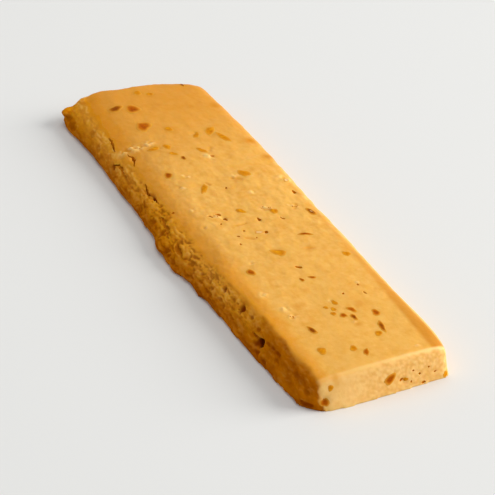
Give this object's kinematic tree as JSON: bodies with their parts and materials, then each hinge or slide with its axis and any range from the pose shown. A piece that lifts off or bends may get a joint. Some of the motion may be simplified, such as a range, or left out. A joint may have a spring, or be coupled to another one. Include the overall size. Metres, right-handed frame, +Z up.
{
  "type": "almond nougat bar",
  "caption": "Flat bar of soft almond nougat with an oily top, chopped almond bits, one clean cut end and one torn craggy long side.",
  "frame": {"origin": "middle of the flat base, on the surface that the bar lies on", "axes": "+X along the bar to its clean cut end, -Y out of the torn long side, +Z up"},
  "size_m": [0.201, 0.0556, 0.0114],
  "materials": {
    "nougat": "soft, oily satin paste",
    "almond": "toasted, satin"
  },
  "bodies": {
    "root": {"nougat_bar": "nougat"}
  },
  "joints": []
}
